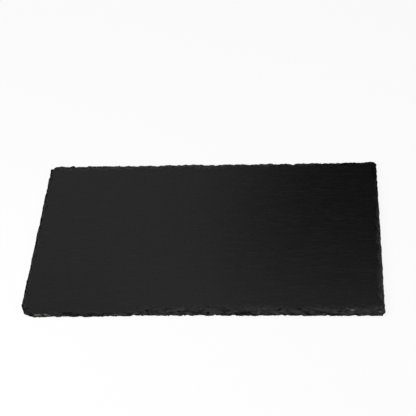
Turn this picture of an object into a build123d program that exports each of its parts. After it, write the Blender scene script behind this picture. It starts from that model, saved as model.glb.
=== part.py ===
from build123d import *
import math
import os
import random

# Slate serving board: a riven slab with hand-dressed edges on four self-adhesive rubber feet.
# Millimetres, +Z up. The origin is on the table under the middle of the board, +X runs along
# the long side and -Y is the front, which faces the diner.

# Slab: a blank of the gastronorm 1/1 size, split along its cleavage
BOARD_LENGTH = 530.0
BOARD_DEPTH = 325.0
SLATE_THICKNESS = 6.0

# Corners: each is knocked off to about this radius
FRONT_LEFT_RADIUS = 21.0
FRONT_RIGHT_RADIUS = 5.0
REAR_RIGHT_RADIUS = 4.0
REAR_LEFT_RADIUS = 8.0

# Dressing: how far the chipping reaches in over the face. The front is hardly chipped at its
# left end and deeply chipped along the rest. A little before the deep chipping the edge itself
# is set back, and it runs out again at the right corner.
FRONT_DRESSING_LEFT = 4.0
FRONT_DRESSING_RIGHT = 14.0
FRONT_DEEP_AT = 155.0
FRONT_SETBACK = 2.2
FRONT_SETBACK_AT = 125.0
FRONT_CHANGE_WIDTH = 60.0
RIGHT_DRESSING = 7.0
REAR_DRESSING = 9.0
LEFT_DRESSING = 5.0

# Wander: how much the lip strays from a straight line
FRONT_WANDER = 0.6
RIGHT_WANDER = 0.6
REAR_WANDER = 1.6
LEFT_WANDER = 0.9

# Edge section: the lip is the outermost line, and the underside is spalled back inside it.
# Between the lip and the face the dressing breaks through a few cleavage leaves.
LIP_HEIGHT = 4.0
UNDER_SPALL = 1.5
LEAST_SPALL_SHARE = 0.4
CLEAVAGE_LEAVES = 3
RISER_SHARE = 0.65
RISER_LEAN = 0.1

# Flake scars: one blow of the dressing tool takes one bite out of the edge
FLAKE_LENGTH = 18.0
FLAKE_SPREAD = 0.6
DRESSING_SPREAD = 0.25
LIP_BITE = 0.5
FACE_BITE = 3.0
LEAST_BITE = 0.15
BITE_TO_CHORD = 0.3
SEED = 718

# Feet: moulded rubber bumpers that narrow to the table, each on a disc of double-sided tape
FOOT_HEIGHT = 3.0
FOOT_DIAMETER = 14.0
FOOT_TAPER = 1.0
FOOT_CHAMFER = 0.8
FOOT_FROM_END = 48.0
FOOT_FROM_SIDE = 42.0
TAPE_MARGIN = 0.5
TAPE_THICKNESS = 0.4

SLAB_BOTTOM = FOOT_HEIGHT + TAPE_THICKNESS


def flakes_along(length):
    return math.ceil(length / FLAKE_LENGTH)


def smooth_step(value):
    """0 below 0, 1 above 1 and an S-curve between."""
    share = min(1.0, max(0.0, value))
    return share * share * (3 - 2 * share)


def front_change(along, change_at):
    """How far a change of the front has gone, which is halfway at the given place."""
    return smooth_step((along - change_at) / FRONT_CHANGE_WIDTH + 0.5)


def front_dressing(along):
    deepening = FRONT_DRESSING_RIGHT - FRONT_DRESSING_LEFT
    return FRONT_DRESSING_LEFT + deepening * front_change(along, FRONT_DEEP_AT)


def front_setback(along):
    run_out = (BOARD_LENGTH - along) / (BOARD_LENGTH - FRONT_SETBACK_AT)
    return FRONT_SETBACK * front_change(along, FRONT_SETBACK_AT) * run_out


class Side:
    """One side of the board and the corner that ends it, walked anticlockwise.

    Flake scars meet at cusps. Those on the side are held as shares of its length.
    """

    def __init__(self, corner, heading, length, radii, dressing, wander, seed,
                 setback=lambda along: 0.0):
        self.corner = Vector(*corner)
        self.heading = Vector(*heading)
        self.inward = Vector(-self.heading.Y, self.heading.X)
        self.length = length
        self.start_radius, self.end_radius = radii
        self.dressing = dressing
        draw = random.Random(seed)
        count = flakes_along(length - sum(radii))
        lengths = [draw.uniform(1 - FLAKE_SPREAD, 1 + FLAKE_SPREAD) for _ in range(count)]
        self.cusps = [sum(lengths[:i]) / sum(lengths) for i in range(count + 1)]
        strays = [draw.uniform(0, wander) + setback(share * length) for share in self.cusps]
        self.strays = [stray - min(strays) for stray in strays]
        self.depths = [draw.uniform(1 - DRESSING_SPREAD, 1 + DRESSING_SPREAD) for _ in self.cusps]
        self.spalls = [draw.uniform(LEAST_SPALL_SHARE, 1) for _ in self.cusps]
        self.corner_flakes = flakes_along(math.pi / 2 * self.end_radius)
        self.bites = [draw.random() for _ in range(count)] + [0.0] * self.corner_flakes

    def inset(self, index, reach, spall):
        """How far cusp number index lies inside the side's straight line."""
        along = self.cusps[index] * self.length
        scar = self.dressing(along) * self.depths[index] * reach
        return self.strays[index] + scar + self.spalls[index] * spall

    def place(self, along, inset):
        return self.corner + self.heading * along + self.inward * inset

    def cusp_points(self, before, after, reach, spall):
        """The cusps along this side and round its end corner, given the two sides it meets."""
        first = before.inset(-1, reach, spall) + self.start_radius
        last = self.length - after.inset(0, reach, spall) - self.end_radius
        points = []
        for index, share in enumerate(self.cusps):
            points.append(self.place(first + (last - first) * share, self.inset(index, reach, spall)))
        crossing = after.place(self.inset(-1, reach, spall), after.inset(0, reach, spall))
        centre = crossing + (after.heading + after.inward) * self.end_radius
        for flake in range(1, self.corner_flakes):
            angle = math.pi / 2 * flake / self.corner_flakes
            outward = after.heading * math.cos(angle) + after.inward * math.sin(angle)
            points.append(centre - outward * self.end_radius)
        return points


def board_sides():
    half_x, half_y = BOARD_LENGTH / 2, BOARD_DEPTH / 2
    return [
        Side((-half_x, -half_y), (1, 0), BOARD_LENGTH, (FRONT_LEFT_RADIUS, FRONT_RIGHT_RADIUS),
             front_dressing, FRONT_WANDER, SEED, front_setback),
        Side((half_x, -half_y), (0, 1), BOARD_DEPTH, (FRONT_RIGHT_RADIUS, REAR_RIGHT_RADIUS),
             lambda along: RIGHT_DRESSING, RIGHT_WANDER, SEED + 1),
        Side((half_x, half_y), (-1, 0), BOARD_LENGTH, (REAR_RIGHT_RADIUS, REAR_LEFT_RADIUS),
             lambda along: REAR_DRESSING, REAR_WANDER, SEED + 2),
        Side((-half_x, half_y), (0, -1), BOARD_DEPTH, (REAR_LEFT_RADIUS, FRONT_LEFT_RADIUS),
             lambda along: LEFT_DRESSING, LEFT_WANDER, SEED + 3),
    ]


def outline(sides, height, reach, spall=0.0):
    """The slab's edge at one height, with a bite between each two cusps.

    reach is 0 at the lip and 1 at the face; spall is how far the underside is broken back.
    """
    points = []
    bites = []
    for here, before, after in zip(sides, sides[-1:] + sides[:-1], sides[1:] + sides[:1]):
        points += here.cusp_points(before, after, reach, spall)
        bites += here.bites
    edges = []
    for start, end, bite in zip(points, points[1:] + points[:1], bites):
        chord = end - start
        inward = Vector(-chord.Y, chord.X).normalized()
        depth = LEAST_BITE + bite * (LIP_BITE + FACE_BITE * reach)
        middle = (start + end) / 2 + inward * min(depth, BITE_TO_CHORD * chord.length)
        edges.append(ThreePointArc(start, middle, end))
    return Pos(0, 0, height) * Wire(edges)


def make_slab():
    """Ruled loft from the spalled underside, out to the lip and up the leaves to the face."""
    sides = board_sides()
    sections = [outline(sides, SLAB_BOTTOM, 0.0, UNDER_SPALL)]
    sections.append(outline(sides, SLAB_BOTTOM + LIP_HEIGHT, 0.0))
    rise = (SLATE_THICKNESS - LIP_HEIGHT) / CLEAVAGE_LEAVES
    for leaf in range(CLEAVAGE_LEAVES):
        top = SLAB_BOTTOM + LIP_HEIGHT + rise * (leaf + 1)
        reach = (leaf + 1) / CLEAVAGE_LEAVES
        sections.append(outline(sides, top - rise * RISER_SHARE, reach - RISER_LEAN))
        sections.append(outline(sides, top, reach))
    return Solid.make_loft(sections, ruled=True)


def make_foot():
    """A short cone with its wide end up, its rim eased where it meets the table."""
    foot = Cone(FOOT_DIAMETER / 2 - FOOT_TAPER, FOOT_DIAMETER / 2, FOOT_HEIGHT,
                align=(Align.CENTER, Align.CENTER, Align.MIN))
    rim = foot.edges().sort_by(Axis.Z)[0]
    return chamfer(rim, FOOT_CHAMFER)


def make_tape():
    """The disc that holds a foot, a little smaller than the foot's top."""
    tape = Cylinder(FOOT_DIAMETER / 2 - TAPE_MARGIN, TAPE_THICKNESS,
                    align=(Align.CENTER, Align.CENTER, Align.MIN))
    return Pos(0, 0, FOOT_HEIGHT) * tape


def foot_places():
    """Name and centre of each foot."""
    x = BOARD_LENGTH / 2 - FOOT_FROM_END
    y = BOARD_DEPTH / 2 - FOOT_FROM_SIDE
    return {
        "front_left": (-x, -y),
        "front_right": (x, -y),
        "rear_right": (x, y),
        "rear_left": (-x, y),
    }


os.makedirs("parts", exist_ok=True)
export_step(make_slab(), "parts/slate_slab.step")
for name, (x, y) in foot_places().items():
    export_step(Pos(x, y, 0) * make_foot(), f"parts/rubber_foot_{name}.step")
    export_step(Pos(x, y, 0) * make_tape(), f"parts/adhesive_disc_{name}.step")
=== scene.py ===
import bisect
import math
import random

import bpy
import numpy as np
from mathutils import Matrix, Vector, noise
from mathutils.bvhtree import BVHTree


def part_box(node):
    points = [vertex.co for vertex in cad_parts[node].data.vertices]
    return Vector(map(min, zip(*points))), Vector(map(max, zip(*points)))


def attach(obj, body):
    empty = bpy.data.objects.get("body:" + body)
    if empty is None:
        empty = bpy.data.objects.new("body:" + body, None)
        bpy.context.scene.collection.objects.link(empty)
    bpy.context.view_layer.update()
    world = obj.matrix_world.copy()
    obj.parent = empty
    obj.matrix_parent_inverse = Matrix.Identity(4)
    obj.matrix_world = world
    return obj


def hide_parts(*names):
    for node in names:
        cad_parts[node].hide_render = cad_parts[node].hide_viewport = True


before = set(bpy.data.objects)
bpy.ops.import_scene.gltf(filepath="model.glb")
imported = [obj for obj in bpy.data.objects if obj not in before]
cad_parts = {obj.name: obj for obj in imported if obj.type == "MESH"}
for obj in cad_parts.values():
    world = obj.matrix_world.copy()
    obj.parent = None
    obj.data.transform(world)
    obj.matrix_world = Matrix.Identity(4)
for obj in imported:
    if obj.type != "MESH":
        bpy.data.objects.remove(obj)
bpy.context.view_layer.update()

# Slate slab
# One slab of black slate, split by hand along its cleavage, so that both its faces are riven.
# The edge is dressed with a hammer: each blow takes off a shell-shaped flake and lays the thin
# leaves of the stone open, on a slope down from the face and on a low wall under it.
MM = 0.001
slab_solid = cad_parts["slate_slab"].data
slab_corners = [vertex.co for vertex in slab_solid.vertices]
slab_tree = BVHTree.FromPolygons(slab_corners, [face.vertices for face in slab_solid.polygons])
slab_low, slab_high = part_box("slate_slab")
FACE_Z = slab_high.z
BASE_Z = slab_low.z

# The lip is the outermost line of the solid. Rays are cast a nudge off the solid's planes.
LIP_Z = max(slab_corners, key=lambda corner: corner.x).z
NUDGE = 0.02 * MM

# The rim of the slab is meshed in columns. Each runs from the lip to its root on an inner
# rectangle, and the middle is a grid of cells with several columns to a cell.
RIM = 26 * MM
CELL = 5 * MM
COLUMNS_PER_CELL = 8
half_size = np.array(slab_high - slab_low)[:2] / 2
inner_size = half_size - RIM
cells_x, cells_y = (int(round(side)) for side in 2 * inner_size / CELL)
walk_x = np.linspace(-inner_size[0], inner_size[0], cells_x * COLUMNS_PER_CELL, endpoint=False)
walk_y = np.linspace(-inner_size[1], inner_size[1], cells_y * COLUMNS_PER_CELL, endpoint=False)
front_roots = np.column_stack([walk_x, np.full_like(walk_x, -inner_size[1])])
right_roots = np.column_stack([np.full_like(walk_y, inner_size[0]), walk_y])
roots = np.concatenate([front_roots, right_roots, -front_roots, -right_roots])
outward = roots * (RIM / inner_size)
outward /= np.linalg.norm(outward, axis=1, keepdims=True)
columns = len(roots)


def edge_distance(z):
    """How far each column runs from its root to the solid's side at one height."""
    rays = zip(roots, outward)
    return np.array([slab_tree.ray_cast((*root, z), (*way, 0))[3] for root, way in rays])


def solid_height(x, y):
    hit = slab_tree.ray_cast((x, y, FACE_Z + MM), (0, 0, -1))[0]
    return hit.z if hit else LIP_Z


def in_from(reach, inset=0.0):
    """Places on the columns, the given distance inside a reach from the roots."""
    return roots + outward * (reach - inset)[:, None]


def spread(values, columns_away, pick):
    """Picks from each column and its neighbours, such as their mean."""
    return pick([np.roll(values, shift) for shift in range(-columns_away, columns_away + 1)], axis=0)


def unevenness(x, y, size, seed):
    """Noise of about -1 to 1, with bumps of the given size."""
    return noise.fractal(Vector((x / size, y / size, seed)), 1.0, 2.0, 3)


def smooth_step(share):
    share = min(1.0, max(0.0, share))
    return share * share * (3 - 2 * share)


# How far the dressing of the solid reaches in from the lip, widened and evened out between columns
WIDTH_STEP = 0.5 * MM
WIDEN_COLUMNS = 6
EVEN_COLUMNS = 14
solid_lip = edge_distance(LIP_Z + NUDGE)
solid_base = edge_distance(BASE_Z + NUDGE)
dressing = np.zeros(columns)
for inset in np.arange(WIDTH_STEP, RIM, WIDTH_STEP):
    below = [solid_height(x, y) < FACE_Z - NUDGE for x, y in in_from(solid_lip, inset)]
    dressing[below] = inset
dressing = spread(spread(dressing, WIDEN_COLUMNS, np.max), EVEN_COLUMNS, np.mean)
lip_steps = np.linalg.norm(np.diff(in_from(solid_lip), axis=0), axis=1)
along = np.concatenate([[0.0], np.cumsum(lip_steps)])

# Riven face: broad swells and faint ribs along the board, all below the plane of the solid's face
SWELL = 70 * MM
SWELL_DEPTH = 0.12 * MM
RIB_LENGTH = 90 * MM
RIB_WIDTH = 12 * MM
RIB_DEPTH = 0.04 * MM
FACE_SEED = 4.5


def riven(x, y, seed):
    """Depth of a split face under its highest plane."""
    swell = unevenness(x, y, SWELL, seed)
    rib = noise.fractal(Vector((x / RIB_LENGTH, y / RIB_WIDTH, seed)), 1.0, 2.0, 2)
    return max(0.0, SWELL_DEPTH * (0.5 + 0.5 * swell) + RIB_DEPTH * (0.5 + 0.5 * rib))


def face_height(x, y):
    return FACE_Z - riven(x, y, FACE_SEED)


# Leaves: the stone splits on planes that lie unevenly apart, all parallel to the face, which is one
LEAF_LEAST = 0.4 * MM
LEAF_MOST = 0.9 * MM
LEAF_PULL = 0.85
TREAD_SHARE = 0.8
LEAF_SEED = 3
leaf_draw = random.Random(LEAF_SEED)
leaf_planes = [FACE_Z]
while leaf_planes[0] >= BASE_Z:
    leaf_planes.insert(0, leaf_planes[0] - leaf_draw.uniform(LEAF_LEAST, LEAF_MOST))


def on_leaf(z):
    """Draws a height towards the tread of the leaf that it lies on, which leaves a steep riser."""
    index = bisect.bisect_left(leaf_planes, z)
    low, high = leaf_planes[index - 1], leaf_planes[index]
    share = (z - low) / (high - low)
    riser = smooth_step((share - 0.5) / (1 - TREAD_SHARE) + 0.5)
    return z + LEAF_PULL * (low + riser * (high - low) - z)


# Flakes: the hammer leaves flat scars along the edge, each with its own height, lean and tone, which
# are drawn from the scar's middle, scattered so that near ones don't draw alike
FLAKES = {"length": 18 * MM, "width": 6 * MM, "lift": 0.4 * MM, "lean": 0.16, "seed": 2.5}
CHIPS = {"length": 7 * MM, "width": 2.2 * MM, "lift": 0.25 * MM, "lean": 0.25, "seed": 5.5}
SCAR_BLEND = 0.1
SCATTER = 61.7


def scar(run, inset, length, width, lift, lean, seed):
    """Height and tone of the scars at a place, given by its run along the lip and its inset."""
    spot = Vector((run / length, inset / width, seed))
    distances, middles = noise.voronoi(spot)
    shares = [max(0.0, 1 - (distance - distances[0]) / SCAR_BLEND) ** 2 for distance in distances]
    height = tone = 0.0
    for share, middle in zip(shares, middles):
        draw = 2 * noise.cell_vector(middle * SCATTER) - Vector((1, 1, 1))
        tilt = draw.x * (spot.x - middle.x) * length + draw.y * (spot.y - middle.y) * width
        height += share / sum(shares) * (lift * draw.z + lean * tilt)
        tone += share / sum(shares) * (0.5 + 0.5 * draw.z)
    return height, tone


# Marks that stand out on the front edge: dark bites and pale fresh chips. Each is given by its
# middle, in mm from the left end and from the front, its length, width and depth in mm and its tone.
# The black of a bite is painted shade in its hollow; the pale grey of a fresh chip is the stone's own.
MARKS = (
    (9, 14.0, 11, 3.0, 0.6, 0.10),
    (28, 2.0, 17, 3.5, 0.3, 0.92),
    (41, 2.6, 16, 3.2, 0.3, 0.93),
    (72, 5.5, 20, 3.5, 0.8, 0.05),
    (188, 10.0, 7, 4.0, 0.8, 0.05),
    (221, 6.5, 14, 3.0, 0.5, 0.15),
    (234, 8.5, 6, 3.5, 0.8, 0.05),
    (276, 5.0, 7, 7.0, 0.8, 0.05),
    (303, 8.0, 12, 3.0, 0.5, 0.15),
    (336, 6.0, 7, 4.0, 0.6, 0.10),
    (380, 11.0, 8, 4.5, 0.8, 0.05),
    (408, 11.0, 8, 3.5, 0.7, 0.05),
    (482, 9.0, 9, 3.4, 0.3, 0.92),
    (476, 11.5, 7, 2.6, 0.3, 0.80),
    (522, 6.0, 7, 3.0, 0.3, 0.92),
)
MARKED_DEPTH = 18 * MM
MARK_RAG_SIZE = 2.5 * MM
MARK_RAG = 0.5
MARK_SEED = 9.5


def mark(x, y):
    """Depth and tone of the mark at a place, and how much of it is there."""
    if y - slab_low.y < MARKED_DEPTH:
        ragged = MARK_RAG * unevenness(x, y, MARK_RAG_SIZE, MARK_SEED)
        for from_left, from_front, length, width, depth, tone in MARKS:
            off_x = (x - slab_low.x - from_left * MM) / (length / 2 * MM)
            off_y = (y - slab_low.y - from_front * MM) / (width / 2 * MM)
            share = smooth_step(2 * (1 - math.hypot(off_x, off_y)) + ragged)
            if share > 0:
                return depth * MM, tone, share
    return 0.0, 0.5, 0.0


# Tones of the dressing at even steps along the front, right, rear and left, walked anticlockwise: at the
# lip, on the slope and where it runs out into the face. The front is dusty. The right rear corner is
# blackest, and the rear and the right darken towards it: painted shade where the light falls off. The
# pale lip of the right is partly paler stone and partly a painted highlight where the edge catches
# light.
LIP_TONES_AND_SHADE = (
    (0.16, 0.24, 0.46, 0.38, 0.52), (0.92, 0.62, 0.12),
    (0.02, 0.37, 0.72, 0.76, 0.55), (0.24, 0.24))
SLOPE_TONES_AND_SHADE = (
    (0.36, 0.41, 0.53, 0.56, 0.52), (0.70, 0.36, 0.05),
    (0.04, 0.34, 0.64, 0.73, 0.58), (0.45, 0.45))
INNER_TONES_AND_SHADE = (
    (0.38, 0.44, 0.47, 0.43, 0.37), (0.48, 0.24, 0.04),
    (0.04, 0.33, 0.62, 0.72, 0.58), (0.43, 0.43))


def on_columns(side_tones_and_shade):
    """A tone for each column, evened out round the corners."""
    ramps = []
    for steps, walk in zip(side_tones_and_shade, (walk_x, walk_y, walk_x, walk_y)):
        ramps.append(np.interp(np.linspace(0, len(steps) - 1, len(walk)), range(len(steps)), steps))
    return spread(np.concatenate(ramps), EVEN_COLUMNS, np.mean)


# The scars are boldest at the lip and fade where the slope runs out into the face. A chip is no paler
# than the palest tone, unless its edge is. Away from the lip the ends of the solid's leaves are ragged.
RAG_SIZE = 7 * MM
RAG_REACH = 3 * MM
RAG_X_SEED = 6.5
RAG_Y_SEED = 10.5
CHIP_RISE = 0.3
LIP_ZONE = 6 * MM
FADED = 0.1
SHALLOWEST = 0.7
PALEST = 0.72
FLAKE_SHARE = 0.4
TONE_SPREAD = 1.1


def broken(x, y, run, inset, width, lip_tone_and_shade, slope_tone_and_shade, inner_tone_and_shade):
    """Height and tone of the dressed slope: the solid's own, broken by scars down to the leaves."""
    near_lip = smooth_step(1 - inset / LIP_ZONE)
    boldness = max(near_lip, 1 - smooth_step(inset / width))
    flake, flake_tone = scar(run, inset, **FLAKES)
    chip, chip_tone = scar(run, inset, **CHIPS)
    bite, bite_shade_and_chip_tone, bitten = mark(x, y)
    rag = RAG_REACH * smooth_step(inset / LIP_ZONE)
    ragged_x = x + rag * unevenness(x, y, RAG_SIZE, RAG_X_SEED)
    ragged_y = y + rag * unevenness(x, y, RAG_SIZE, RAG_Y_SEED)
    slope = solid_height(ragged_x, ragged_y) + CHIP_RISE * max(0.0, inset - width)
    scars = (SHALLOWEST + (1 - SHALLOWEST) * boldness) * (flake + chip)
    stone = on_leaf(min(FACE_Z, max(BASE_Z, slope + scars)))
    contrast = TONE_SPREAD * (FLAKE_SHARE * flake_tone + (1 - FLAKE_SHARE) * chip_tone - 0.5)
    run_out = smooth_step(2 * inset / width - 1)
    # The tone from the tables holds painted shade and highlight besides the stone's own tone
    tone_and_shade = slope_tone_and_shade + (lip_tone_and_shade - slope_tone_and_shade) * near_lip + (inner_tone_and_shade - slope_tone_and_shade) * run_out
    tone = min(max(tone_and_shade, PALEST), tone_and_shade + (FADED + (1 - FADED) * boldness) * contrast)
    return min(face_height(x, y), stone) - bitten * bite, tone + bitten * (bite_shade_and_chip_tone - tone)


points = []
dressed = []
tones = []


def add_row(places, heights, dressed_share=0.0, tone=0.5):
    """Adds a row of points and gives their numbers."""
    first = len(points)
    points.extend((x, y, z) for (x, y), z in zip(places, heights))
    dressed.extend(np.broadcast_to(dressed_share, len(places)))
    tones.extend(np.broadcast_to(tone, len(places)))
    return list(range(first, len(points)))


# Top of the rim: fine rows over the dressing, then coarser ones, each given by its share of the way to
# the roots and its step between columns. The lip is ragged, because chips of many sizes came off it.
LIP_RAG = 0.6 * MM
BAND_ROWS = 24
BAND_MARGIN = 3 * MM
BAND_STRETCH = 1.15
CHIPPED_AT = 0.2 * MM
COARSER_ROWS = ((0.12, 2), (0.3, 4), (0.6, 8), (1.0, 8))
lip = solid_lip + LIP_RAG * np.array([0.5 - scar(run, 0.0, **CHIPS)[1] for run in along])
band = BAND_STRETCH * dressing + BAND_MARGIN
column_tones_and_shade = [on_columns(side_tones_and_shade) for side_tones_and_shade in (LIP_TONES_AND_SHADE, SLOPE_TONES_AND_SHADE, INNER_TONES_AND_SHADE)]
column_values = list(zip(dressing, *column_tones_and_shade))
top_rows = []
for row in range(BAND_ROWS + 1):
    insets = band * row / BAND_ROWS
    places = in_from(lip, insets)
    columns_here = zip(places, along, insets, column_values)
    found = [broken(x, y, run, inset, *values) for (x, y), run, inset, values in columns_here]
    heights, row_tones_and_shade = zip(*found)
    depths = [face_height(x, y) - z for (x, y), z in zip(places, heights)]
    chipped = [smooth_step(depth / CHIPPED_AT) for depth in depths]
    top_rows.append(add_row(places, heights, chipped, row_tones_and_shade))
    if row == 0:
        lip_z = np.array(heights)
for share, step in COARSER_ROWS:
    places = in_from((lip - band) * (1 - share))[::step]
    top_rows.append(add_row(places, [face_height(x, y) for x, y in places]))

# Base: split like the face, flat where the feet are stuck on, spalled along its edge
SPALL_WIDTH = 6 * MM
SPALL_SIZE = 12 * MM
SPALL_DEPTH = 0.9 * MM
FLAT_RADIUS = 10 * MM
FLAT_FADE = 25 * MM
SPALL_SEED = 8.5
BASE_SEED = 7.5
PLACES = ("front_left", "front_right", "rear_right", "rear_left")
foot_middles = [sum(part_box("rubber_foot_" + place), Vector()) / 2 for place in PLACES]


def base_height(x, y, inset=RIM):
    nearest = min((Vector((x, y)) - middle.xy).length for middle in foot_middles)
    free = smooth_step((nearest - FLAT_RADIUS) / FLAT_FADE)
    spall = max(0.0, unevenness(x, y, SPALL_SIZE, SPALL_SEED)) * smooth_step(1 - inset / SPALL_WIDTH)
    return BASE_Z + free * riven(x, y, BASE_SEED) + SPALL_DEPTH * spall


# Wall: from the lip down to the base. Each leaf has snapped off in short lengths, some further in,
# with no likeness between leaves, and here and there the foot of the wall has spalled away.
WALL_ROWS = 8
WALL_LEAN = 0.4
HOLLOW_LENGTH = 7 * MM
HOLLOW_DEPTH = 3.0 * MM
HOLLOW_SEED = 3.5
END_LENGTH = 5 * MM
END_DEPTH = 0.6 * MM
BASE_END_DEPTH = 1.4 * MM
LEAVES_APART = 3.7
END_SEED = 0.5
# The leaf ends are painted darker than the slope, as shade on the steep wall, and their tones differ at
# random from end to end; a few fresh ends are pale stone.
WALL_TONE_AND_SHADE = 0.36
FRESH_SHARE = 0.06
FRESH_TONE = 0.85


def leaf_end(run, z):
    """How far in a leaf has snapped off, as a share, and the tone of its end."""
    leaf = bisect.bisect_left(leaf_planes, z)
    middle = noise.voronoi(Vector((run / END_LENGTH, LEAVES_APART * leaf, END_SEED)))[1][0]
    draw = noise.cell_vector(middle * SCATTER)
    return draw.x, FRESH_TONE if draw.z < FRESH_SHARE else WALL_TONE_AND_SHADE * draw.y


hollows = np.array([max(0.0, unevenness(run, 0.0, HOLLOW_LENGTH, HOLLOW_SEED)) for run in along])
wall_rows = [top_rows[0]]
for row in range(1, WALL_ROWS + 1):
    share = row / WALL_ROWS
    reach = lip + (np.minimum(solid_base, lip) - lip) * share * WALL_LEAN
    foot_z = np.array([base_height(x, y, 0.0) for x, y in in_from(reach)])
    heights = lip_z + (foot_z - lip_z) * share
    shares, row_tones_and_shade = np.transpose([leaf_end(run, z) for run, z in zip(along, heights)])
    marks = np.array([mark(x, y) for x, y in in_from(reach)])
    row_tones_and_shade += marks[:, 2] * (marks[:, 1] - row_tones_and_shade)
    reach = reach - shares * (END_DEPTH + (BASE_END_DEPTH - END_DEPTH) * share)
    reach = reach - HOLLOW_DEPTH * hollows * share ** 2
    wall_rows.append(add_row(in_from(reach), heights, 1.0, row_tones_and_shade))

# Rim of the base: rows that grow coarser, each given by its inset and its step between columns
BASE_ROWS = ((1.2 * MM, 1), (3 * MM, 2), (6 * MM, 4), (12 * MM, 8))
base_rows = [wall_rows[-1]]
for inset, step in BASE_ROWS:
    places = in_from(reach, inset)[::step]
    heights = [base_height(x, y, inset) for x, y in places]
    base_rows.append(add_row(places, heights, smooth_step(1 - inset / SPALL_WIDTH)))
places = roots[::COLUMNS_PER_CELL]
base_rows.append(add_row(places, [base_height(x, y) for x, y in places]))


def bridge(rows):
    """Faces between rows, where a row has as many points as the one before it or half as many."""
    faces = []
    for outer, inner in zip(rows, rows[1:]):
        step = len(outer) // len(inner)
        for i, here in enumerate(inner):
            after = inner[(i + 1) % len(inner)]
            ends = [outer[(i * step + k) % len(outer)] for k in range(step + 1)]
            if step == 1:
                faces.append((ends[0], ends[1], after, here))
            else:
                faces += [(ends[0], ends[1], here), (ends[1], after, here), (ends[1], ends[2], after)]
    return faces


def fill(ring, height):
    """Faces of the grid of cells inside the last row."""
    grid = np.zeros((cells_x + 1, cells_y + 1), int)
    sides = np.split(np.array(ring), np.cumsum([cells_x, cells_y, cells_x]))
    grid[:-1, 0], grid[-1, :-1], grid[:0:-1, -1], grid[0, :0:-1] = sides
    for i, x in enumerate(np.linspace(-inner_size[0], inner_size[0], cells_x + 1)[1:-1], 1):
        places = [(x, y) for y in np.linspace(-inner_size[1], inner_size[1], cells_y + 1)[1:-1]]
        grid[i, 1:-1] = add_row(places, [height(*place) for place in places])
    cells = np.stack([grid[:-1, :-1], grid[1:, :-1], grid[1:, 1:], grid[:-1, 1:]], axis=-1)
    return cells.reshape(-1, 4).tolist()


# Mesh of the slab: the edges of chips stay crisp, and the gentler relief is smooth
SLATE_SHARP = math.radians(24)
top_faces = bridge(top_rows) + fill(top_rows[-1], face_height)
wall_faces = [face[::-1] for face in bridge(wall_rows)]
base_faces = [face[::-1] for face in bridge(base_rows) + fill(base_rows[-1], base_height)]
slab_mesh = bpy.data.meshes.new("slate_slab_riven")
slab_faces = top_faces + wall_faces + base_faces
slab_mesh.from_pydata(points, [], slab_faces)
slab_mesh.attributes.new("tone", "FLOAT", "POINT").data.foreach_set("value", tones)
slab_mesh.shade_smooth()
slab_mesh.set_sharp_from_angle(angle=SLATE_SHARP)
slab = bpy.data.objects.new("slate_slab_riven", slab_mesh)
bpy.context.collection.objects.link(slab)

# Map of the surface: the face and the base lie flat, one above the other, and the wall is unrolled
# beside them in four strips, one for each side, drawn wide so that its thin leaves keep their detail
MAP_GAP = 4 * MM
STRIP_WIDTH = 28 * MM
length, depth = 2 * half_size
map_size = max(length + 5 * MAP_GAP + 4 * STRIP_WIDTH, 2 * depth + 3 * MAP_GAP)
spots = np.array(points)[np.concatenate(top_faces)][:, :2] + half_size
top_map = spots + MAP_GAP
spots = np.array(points)[np.concatenate(base_faces)][:, :2] * (-1, 1) + half_size
base_map = spots + (MAP_GAP, depth + 2 * MAP_GAP)
side_starts = np.cumsum([0, len(walk_x), len(walk_y), len(walk_x)])
side = np.searchsorted(side_starts, np.arange(columns), side="right") - 1
strip = length + 2 * MAP_GAP + side * (STRIP_WIDTH + MAP_GAP)
start = along - along[side_starts][side] + MAP_GAP
end = np.append(along[1:], along[-1] + lip_steps[-1]) - along[side_starts][side] + MAP_GAP
wall_map = []
for row in range(WALL_ROWS):
    near = strip + STRIP_WIDTH * row / WALL_ROWS
    far = strip + STRIP_WIDTH * (row + 1) / WALL_ROWS
    quads = np.stack([far, start, far, end, near, end, near, start], axis=-1)
    wall_map.append(quads.reshape(-1, 2))
surface_map = np.concatenate([top_map, *wall_map, base_map]) / map_size
slab_mesh.uv_layers.new(name="OFBake").uv.foreach_set("vector", surface_map.ravel())


def linear(code):
    """An sRGB hex colour as linear red, green and blue with full alpha."""
    shares = [int(code[i:i + 2], 16) / 255 for i in (1, 3, 5)]
    return [s / 12.92 if s <= 0.04045 else ((s + 0.055) / 1.055) ** 2.4 for s in shares] + [1.0]


def add_node(tree, kind, inputs=None, **settings):
    """Adds a node with its settings. An input is given as a value or as the socket that feeds it."""
    node = tree.nodes.new("ShaderNode" + kind)
    for name, value in settings.items():
        setattr(node, name, value)
    for name, value in (inputs or {}).items():
        if isinstance(value, bpy.types.NodeSocket):
            tree.links.new(value, node.inputs[name])
        else:
            node.inputs[name].default_value = value
    return node


# Black slate as it splits: near black and satin, with a silky grain that runs along the board, which
# the light catches in faint streaks. The grain is really under a millimetre, and is drawn coarser so
# that it shows.
STREAK_LENGTH = 20 * MM
STREAK_WIDTH = 3 * MM
STREAK_LEAST = 0.008 * MM
STREAK_MOST = 0.064 * MM
GRAIN_SIZE = 1.6 * MM
GRAIN_DEPTH = 0.014 * MM
MOTTLE_SIZE = 60 * MM
split_slate = bpy.data.materials.new("riven_black_slate")
split_slate.use_nodes = True
tree = split_slate.node_tree
shader = tree.nodes["Principled BSDF"]
where = add_node(tree, "TexCoord").outputs["Object"]
drawn_out = add_node(tree, "Mapping", {
    "Vector": where, "Scale": (1 / STREAK_LENGTH, 1 / STREAK_WIDTH, 1 / STREAK_LENGTH)})
streak = add_node(tree, "TexNoise", {
    "Vector": drawn_out.outputs["Vector"], "Scale": 1.0, "Detail": 4.0, "Roughness": 0.6})
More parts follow.
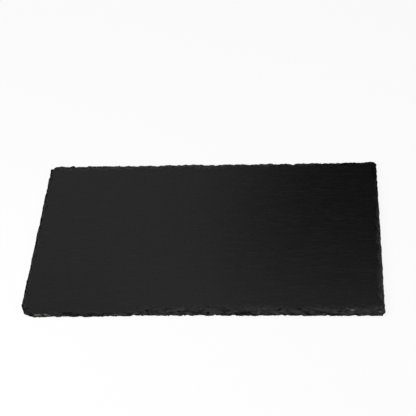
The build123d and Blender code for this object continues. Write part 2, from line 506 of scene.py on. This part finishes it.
mottle = add_node(tree, "TexNoise", {"Vector": where, "Scale": 1 / MOTTLE_SIZE, "Detail": 3.0})
grain = add_node(tree, "TexNoise", {"Vector": where, "Scale": 1 / GRAIN_SIZE, "Detail": 2.0})
clouded = add_node(tree, "MixRGB", {
    "Fac": mottle.outputs["Fac"], "Color1": linear("#0a0a0a"), "Color2": linear("#0e0e0e")})
streaked = add_node(tree, "MapRange", {
    "Value": streak.outputs["Fac"], "From Min": 0.53, "From Max": 0.7, "To Max": 0.4})
colour = add_node(tree, "MixRGB", {
    "Fac": streaked.outputs["Result"], "Color1": clouded.outputs["Color"], "Color2": linear("#1b1b1b")})
tree.links.new(colour.outputs["Color"], shader.inputs["Base Color"])
silky = add_node(tree, "MapRange", {"Value": streak.outputs["Fac"], "From Min": 0.3, "From Max": 0.7,
                                    "To Min": 0.24, "To Max": 0.29})
tree.links.new(silky.outputs["Result"], shader.inputs["Roughness"])
patchy = add_node(tree, "MapRange", {"Value": mottle.outputs["Fac"], "From Min": 0.35, "From Max": 0.65,
                                     "To Min": STREAK_LEAST, "To Max": STREAK_MOST})
ribbed = add_node(tree, "Math", {0: streak.outputs["Fac"], 1: patchy.outputs["Result"]},
                  operation="MULTIPLY")
relief = add_node(tree, "Math", {0: grain.outputs["Fac"], 1: GRAIN_DEPTH, 2: ribbed.outputs["Value"]},
                  operation="MULTIPLY_ADD")
bump = add_node(tree, "Bump", {"Height": relief.outputs["Value"], "Distance": 1.0})
tree.links.new(bump.outputs["Normal"], shader.inputs["Normal"])

# Black slate where the hammer broke it: matt and dusty, from black in the bites, which is painted shade,
# to pale grey on fresh chips, with little shine because the grit breaks it up. Its tone also carries
# painted shade on the wall and towards the right rear corner, and a painted highlight on the right lip.
# The grit is drawn coarser than it is.
GRIT_SIZE = 1.4 * MM
GRIT_DEPTH = 0.25 * MM
SCAR_SHADES = ((0.0, "#0c0c0c"), (0.3, "#1d1d1d"), (0.5, "#2b2b2b"), (0.75, "#383837"), (1.0, "#6a6967"))
broken_slate = bpy.data.materials.new("broken_black_slate")
broken_slate.use_nodes = True
tree = broken_slate.node_tree
shader = tree.nodes["Principled BSDF"]
where = add_node(tree, "TexCoord").outputs["Object"]
scar_tone_and_shade = add_node(tree, "Attribute", attribute_name="tone").outputs["Fac"]
grit = add_node(tree, "TexNoise", {"Vector": where, "Scale": 1 / GRIT_SIZE, "Detail": 6.0})
scar_shade = add_node(tree, "ValToRGB", {"Fac": scar_tone_and_shade})
shades = scar_shade.color_ramp.elements
while len(shades) < len(SCAR_SHADES):
    shades.new(0.5)
for shade, (place, code) in zip(shades, SCAR_SHADES):
    shade.position = place
    shade.color = linear(code)
dusty = add_node(tree, "MapRange", {"Value": grit.outputs["Fac"], "From Min": 0.3, "From Max": 0.7,
                                    "To Min": 0.8, "To Max": 1.2})
colour = add_node(tree, "MixRGB", {
    "Fac": 1.0, "Color1": scar_shade.outputs["Color"], "Color2": dusty.outputs["Result"]},
    blend_type="MULTIPLY")
tree.links.new(colour.outputs["Color"], shader.inputs["Base Color"])
gritty = add_node(tree, "MapRange", {"Value": grit.outputs["Fac"], "To Min": 0.75, "To Max": 0.95})
tree.links.new(gritty.outputs["Result"], shader.inputs["Roughness"])
shader.inputs["Specular IOR Level"].default_value = 0.15
bump = add_node(tree, "Bump", {"Height": grit.outputs["Fac"], "Distance": GRIT_DEPTH})
tree.links.new(bump.outputs["Normal"], shader.inputs["Normal"])

# A face of the mesh is broken stone where any of its points is more than half chipped
BROKEN_FROM = 0.5
slab_mesh.materials.append(split_slate)
slab_mesh.materials.append(broken_slate)
is_broken = [max(dressed[point] for point in face) > BROKEN_FROM for face in slab_faces]
slab_mesh.polygons.foreach_set("material_index", np.array(is_broken, np.int32))
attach(slab, "root")
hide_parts("slate_slab")

# Adhesive discs
# Four discs of milky acrylic tape, sticky on both sides, cut out round. Each joins a foot to the
# slate, and its soft edge is pressed out a little between them.
TURN_STEPS = 64
TURNED_SHARP = math.radians(40)


def turn(name, profile, middle):
    """A round piece from its profile, as radius and height, which starts and ends on the axis."""
    angles = np.linspace(0, 2 * np.pi, TURN_STEPS, endpoint=False)
    corners = [(middle.x, middle.y, profile[0][1]), (middle.x, middle.y, profile[-1][1])]
    rings = []
    for radius, z in profile[1:-1]:
        rings.append(np.arange(TURN_STEPS) + len(corners))
        corners += [(middle.x + radius * np.cos(a), middle.y + radius * np.sin(a), z) for a in angles]
    faces = [(0, after, here) for here, after in zip(rings[0], np.roll(rings[0], -1))]
    for low, high in zip(rings, rings[1:]):
        faces += list(zip(low, np.roll(low, -1), np.roll(high, -1), high))
    faces += [(here, after, 1) for here, after in zip(rings[-1], np.roll(rings[-1], -1))]
    mesh = bpy.data.meshes.new(name)
    mesh.from_pydata(corners, [], [tuple(int(corner) for corner in face) for face in faces])
    mesh.shade_smooth()
    mesh.set_sharp_from_angle(angle=TURNED_SHARP)
    piece = bpy.data.objects.new(name, mesh)
    bpy.context.collection.objects.link(piece)
    return piece


def arc(radius, z, round_radius, start, end, steps=6):
    """Points of a profile on an arc about a middle, between two angles in degrees."""
    angles = np.radians(np.linspace(start, end, steps))
    return [(radius + round_radius * math.cos(a), z + round_radius * math.sin(a)) for a in angles]


# Acrylic tape: soft and milky, half glossy, with fine air bubbles pressed into it
BUBBLE_SIZE = 0.6 * MM
BUBBLE_DEPTH = 0.03 * MM
tape = bpy.data.materials.new("milky_acrylic_tape")
tape.use_nodes = True
tree = tape.node_tree
shader = tree.nodes["Principled BSDF"]
where = add_node(tree, "TexCoord").outputs["Object"]
bubbles = add_node(tree, "TexVoronoi", {"Vector": where, "Scale": 1 / BUBBLE_SIZE})
milky = add_node(tree, "MixRGB", {
    "Fac": bubbles.outputs["Distance"], "Color1": linear("#c6c4bc"), "Color2": linear("#adaba3")})
tree.links.new(milky.outputs["Color"], shader.inputs["Base Color"])
shader.inputs["Roughness"].default_value = 0.4
bump = add_node(tree, "Bump", {"Height": bubbles.outputs["Distance"], "Distance": BUBBLE_DEPTH})
tree.links.new(bump.outputs["Normal"], shader.inputs["Normal"])

for place, middle in zip(PLACES, foot_middles):
    low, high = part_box("adhesive_disc_" + place)
    edge = (high.z - low.z) / 2
    radius = (high.x - low.x) / 2 - edge
    rim = arc(radius, low.z + edge, edge, -90, 90)
    disc = turn("tape_" + place, [(0, low.z), *rim, (0, high.z)], middle)
    disc.data.materials.append(tape)
    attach(disc, "root")
    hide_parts("adhesive_disc_" + place)

# Rubber feet
# Four black rubber bumpers, moulded in one piece, stuck under the slab near its corners. They narrow
# to the table, and their edges are eased so that they come out of the mould.
FOOT_TAPER = 1.0 * MM
FOOT_EASE = 0.8 * MM
FOOT_TOP_EASE = 0.3 * MM

# Moulded rubber: matt black with a fine pebbled skin and a grey bloom of dust. The pebbles are about
# a fifth of a millimetre, and are drawn coarser so that they show.
PEBBLE_SIZE = 0.5 * MM
PEBBLE_DEPTH = 0.05 * MM
BLOOM_SIZE = 4 * MM
rubber = bpy.data.materials.new("moulded_black_rubber")
rubber.use_nodes = True
tree = rubber.node_tree
shader = tree.nodes["Principled BSDF"]
where = add_node(tree, "TexCoord").outputs["Object"]
pebbles = add_node(tree, "TexVoronoi", {"Vector": where, "Scale": 1 / PEBBLE_SIZE})
bloom = add_node(tree, "TexNoise", {"Vector": where, "Scale": 1 / BLOOM_SIZE, "Detail": 5.0})
bloomed = add_node(tree, "MapRange", {"Value": bloom.outputs["Fac"], "From Min": 0.45, "From Max": 0.75})
black = add_node(tree, "MixRGB", {
    "Fac": bloomed.outputs["Result"], "Color1": linear("#131314"), "Color2": linear("#2b2b2a")})
tree.links.new(black.outputs["Color"], shader.inputs["Base Color"])
dull = add_node(tree, "MapRange", {"Value": bloom.outputs["Fac"], "From Min": 0.3, "From Max": 0.7,
                                   "To Min": 0.6, "To Max": 0.8})
tree.links.new(dull.outputs["Result"], shader.inputs["Roughness"])
bump = add_node(tree, "Bump", {"Height": pebbles.outputs["Distance"], "Distance": PEBBLE_DEPTH})
tree.links.new(bump.outputs["Normal"], shader.inputs["Normal"])

for place, middle in zip(PLACES, foot_middles):
    low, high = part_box("rubber_foot_" + place)
    top_radius = (high.x - low.x) / 2
    base_radius = top_radius - FOOT_TAPER
    base_rim = arc(base_radius - FOOT_EASE, low.z + FOOT_EASE, FOOT_EASE, -90, 0)
    top_rim = arc(top_radius - FOOT_TOP_EASE, high.z - FOOT_TOP_EASE, FOOT_TOP_EASE, 0, 90)
    foot = turn("foot_" + place, [(0, low.z), *base_rim, *top_rim, (0, high.z)], middle)
    foot.data.materials.append(rubber)
    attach(foot, "root")
    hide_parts("rubber_foot_" + place)

# Studio
# A white paper floor, a dim panel behind the left of the board, whose sheen lies on the face and runs
# out to the right, a dimmer one overhead, and two softboxes that light the broken edges.
FLOOR_HALF = 20.0
floor_corners = [(-FLOOR_HALF, -FLOOR_HALF, 0), (FLOOR_HALF, -FLOOR_HALF, 0),
                 (FLOOR_HALF, FLOOR_HALF, 0), (-FLOOR_HALF, FLOOR_HALF, 0)]
floor_mesh = bpy.data.meshes.new("floor")
floor_mesh.from_pydata(floor_corners, [], [(0, 1, 2, 3)])
floor = bpy.data.objects.new("floor", floor_mesh)
bpy.context.collection.objects.link(floor)

# White paper: it is matt, and is seen as pure white with only a part of the shadow on it
SEEN_WHITE = 0.9
paper = bpy.data.materials.new("white_paper")
paper.use_nodes = True
tree = paper.node_tree
tree.nodes.remove(tree.nodes["Principled BSDF"])
path = add_node(tree, "LightPath")
seen = add_node(tree, "Math", {0: path.outputs["Is Camera Ray"], 1: path.outputs["Is Glossy Ray"]},
                operation="MAXIMUM")
seen = add_node(tree, "Math", {0: seen.outputs[0], 1: path.outputs["Is Transmission Ray"]},
                operation="MAXIMUM")
share = add_node(tree, "Math", {0: seen.outputs[0], 1: SEEN_WHITE}, operation="MULTIPLY")
matt = add_node(tree, "BsdfDiffuse", {"Color": linear("#f0f0f0")})
glow = add_node(tree, "Emission", {"Color": (1, 1, 1, 1), "Strength": 1.0})
mixed = add_node(tree, "MixShader", {0: share.outputs[0], 1: matt.outputs[0], 2: glow.outputs[0]})
tree.links.new(mixed.outputs[0], tree.nodes["Material Output"].inputs["Surface"])
floor_mesh.materials.append(paper)

# The room is white at the horizon. Above it, it is dark at the rear and grey towards the front.
world = bpy.data.worlds.new("studio")
bpy.context.scene.world = world
world.use_nodes = True
tree = world.node_tree
direction = add_node(tree, "TexCoord").outputs["Generated"]
heading = add_node(tree, "SeparateXYZ", {0: direction})
upper = add_node(tree, "MapRange", {"Value": heading.outputs["Y"], "From Min": -0.1, "From Max": 0.45,
                                    "To Min": 0.25, "To Max": 0.005})
level = add_node(tree, "MapRange", {"Value": heading.outputs["Z"], "From Min": 0.08, "From Max": 0.2,
                                    "To Min": 1.0, "To Max": upper.outputs["Result"]})
tree.links.new(level.outputs[0], tree.nodes["Background"].inputs["Strength"])
tree.nodes["Background"].inputs["Color"].default_value = (1, 1, 1, 1)


def add_panel(name, azimuth, elevation, distance, width, height, power, roll=0, mirrored=True):
    """A soft light that faces the middle of the board.

    Azimuth is seen from above, from +Y to +X. A light that isn't mirrored leaves no sheen on the stone.
    """
    lamp = bpy.data.lights.new(name, "AREA")
    lamp.shape = "RECTANGLE"
    lamp.size = width
    lamp.size_y = height
    lamp.energy = power
    panel = bpy.data.objects.new(name, lamp)
    a, e = math.radians(azimuth), math.radians(elevation)
    way = Vector((math.sin(a) * math.cos(e), math.cos(a) * math.cos(e), math.sin(e)))
    panel.location = distance * way
    panel.rotation_euler = panel.location.to_track_quat("Z", "Y").to_euler()
    panel.rotation_euler.rotate_axis("Z", math.radians(roll))
    panel.visible_glossy = mirrored
    bpy.context.collection.objects.link(panel)


add_panel("rear_panel", azimuth=-26, elevation=35, distance=2.5, width=1.74, height=1.88, power=3.6,
          roll=-38)
add_panel("overhead_panel", azimuth=8, elevation=64, distance=2.5, width=1.2, height=1.2, power=2.3)
add_panel("front_softbox", azimuth=230, elevation=38, distance=1.6, width=0.9, height=0.9, power=25,
          mirrored=False)
add_panel("right_softbox", azimuth=110, elevation=30, distance=1.6, width=0.7, height=0.7, power=5.5,
          mirrored=False)

# The camera stands to the right of the middle and looks down on the board
camera_data = bpy.data.cameras.new("camera")
camera_data.sensor_width = 36
camera_data.lens = 108.39
camera = bpy.data.objects.new("camera", camera_data)
camera.location = (0.172382, -1.346437, 1.360369)
camera.rotation_euler = [math.radians(angle) for angle in (46.205, 3.989, 3.208)]
bpy.context.collection.objects.link(camera)
bpy.context.scene.camera = camera
bpy.context.scene.view_settings.view_transform = "Standard"
